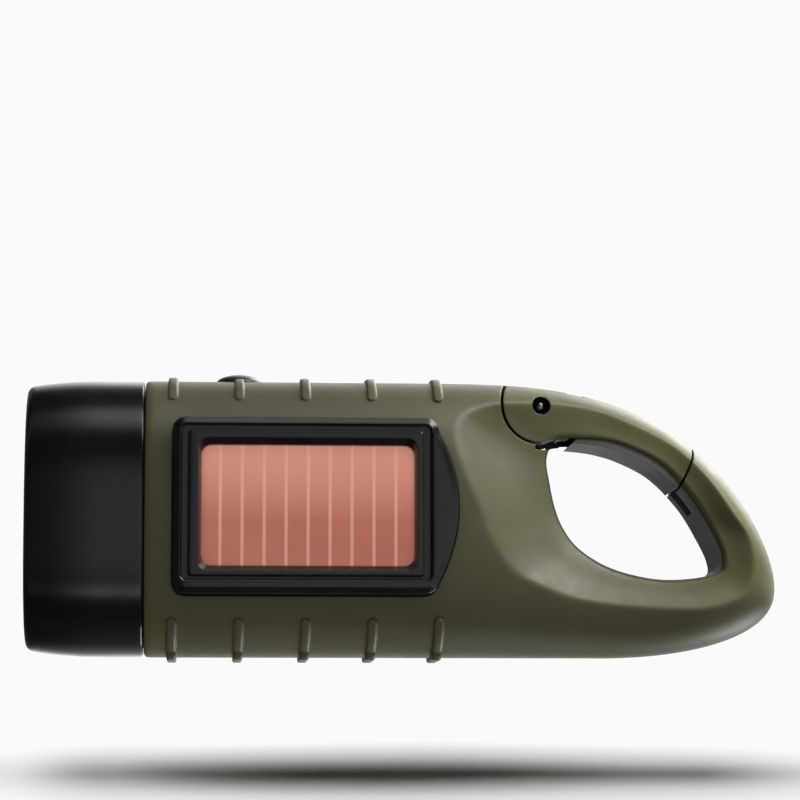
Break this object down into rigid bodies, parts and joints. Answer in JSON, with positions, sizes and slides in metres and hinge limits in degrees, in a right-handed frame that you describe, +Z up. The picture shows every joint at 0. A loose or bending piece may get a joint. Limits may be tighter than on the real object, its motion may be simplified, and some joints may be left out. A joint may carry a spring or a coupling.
{
  "type": "hand crank flashlight",
  "caption": "Flat oval hand crank flashlight with a lamp head, a solar panel on one side, a folding crank on the other and a sprung carabiner loop at the tail.",
  "frame": {"origin": "centre of the bounding box, on the plane of the feet under the barrel", "axes": "+X from the lamp head towards the carabiner tail, +Y from the solar panel's side to the crank's side, +Z up through the power button"},
  "size_m": [0.134, 0.0388, 0.0514],
  "materials": {
    "olive_shell": "fine moulded texture, satin olive drab",
    "black_shell": "smooth black, soft gloss",
    "black_crank": "fine moulded texture, black",
    "grey_liner": "satin dark grey",
    "clear_lens": "clear polished polycarbonate",
    "mirror_coat": "vacuum metallised",
    "led_resin": "clear lamp resin with pale phosphor",
    "board_green": "solder mask",
    "solar_film": "thin-film cell under a clear face, fine lines",
    "foam": "closed-cell foam",
    "button_rubber": "matt black",
    "bright_steel": "plated",
    "dark_steel": "blackened",
    "battery_wrap": "shrink sleeve",
    "copper_wire": "enamelled winding",
    "white_nylon": "natural nylon",
    "brass": "turned"
  },
  "bodies": {
    "housing": {"front_shell": "olive_shell", "back_shell": "olive_shell", "loop_liner": "grey_liner", "gate_pin": "bright_steel", "gate_spring": "bright_steel", "head_cap": "black_shell", "lens": "clear_lens", "reflector": "mirror_coat", "led_board": "board_green", "led_top": "led_resin", "led_middle": "led_resin", "led_bottom": "led_resin", "solar_bezel": "black_shell", "solar_cell": "solar_film", "panel_pad": "foam", "switch_body": "dark_steel", "control_board": "board_green", "battery_pack": "battery_wrap", "generator_case": "dark_steel", "generator_coil": "copper_wire", "gear_plate": "bright_steel", "plate_screw_1": "bright_steel", "plate_screw_2": "bright_steel", "plate_screw_3": "bright_steel", "gear_axle_a": "bright_steel", "gear_axle_b": "bright_steel", "crank_bush": "brass", "case_screw_1": "dark_steel", "case_screw_2": "dark_steel", "case_screw_3": "dark_steel", "case_screw_4": "dark_steel"},
    "gate": {"gate": "olive_shell", "gate_liner": "grey_liner"},
    "button": {"power_button": "button_rubber", "switch_plunger": "black_crank"},
    "crank": {"crank_gear": "white_nylon", "crank_arm": "black_crank", "crank_screw": "bright_steel", "knob_pin": "bright_steel"},
    "knob": {"crank_knob": "black_crank"},
    "first_gear": {"reduction_gear_a": "white_nylon"},
    "second_gear": {"reduction_gear_b": "white_nylon"},
    "rotor": {"generator_rotor": "dark_steel"}
  },
  "joints": [
    {"name": "gate_swing", "type": "hinge", "parent": "housing", "child": "gate", "pos_m": [0.02405, 0, 0.0453], "axis": [0, 1, 0], "range_deg": [0, 24], "stiffness_Nm_per_rad": 0.03, "springref_deg": -28.65},
    {"name": "button_press", "type": "slide", "parent": "housing", "child": "button", "axis": [0, 0, -1], "range_m": [0, 0.0008], "stiffness_N_per_m": 600, "springref_m": -0.001},
    {"name": "crank_spin", "type": "hinge", "parent": "housing", "child": "crank", "pos_m": [-0.01095, 0, 0.0253], "axis": [0, -1, 0], "continuous": true},
    {"name": "knob_fold", "type": "hinge", "parent": "crank", "child": "knob", "pos_m": [0.01705, 0.0175, 0.0253], "axis": [0, 0, -1], "range_deg": [0, 90]},
    {"name": "first_gear_spin", "type": "hinge", "parent": "housing", "child": "first_gear", "pos_m": [0.00682, 0, 0.03006], "axis": [0, -1, 0], "continuous": true},
    {"name": "second_gear_spin", "type": "hinge", "parent": "housing", "child": "second_gear", "pos_m": [0.00901, 0, 0.01765], "axis": [0, -1, 0], "continuous": true},
    {"name": "rotor_spin", "type": "hinge", "parent": "housing", "child": "rotor", "pos_m": [-0.00045, 0, 0.01682], "axis": [0, -1, 0], "continuous": true}
  ],
  "couplings": [
    {"joint": "first_gear_spin", "follows": "crank_spin", "ratio": -3.6},
    {"joint": "second_gear_spin", "follows": "crank_spin", "ratio": 11.52},
    {"joint": "rotor_spin", "follows": "crank_spin", "ratio": -32.256}
  ]
}
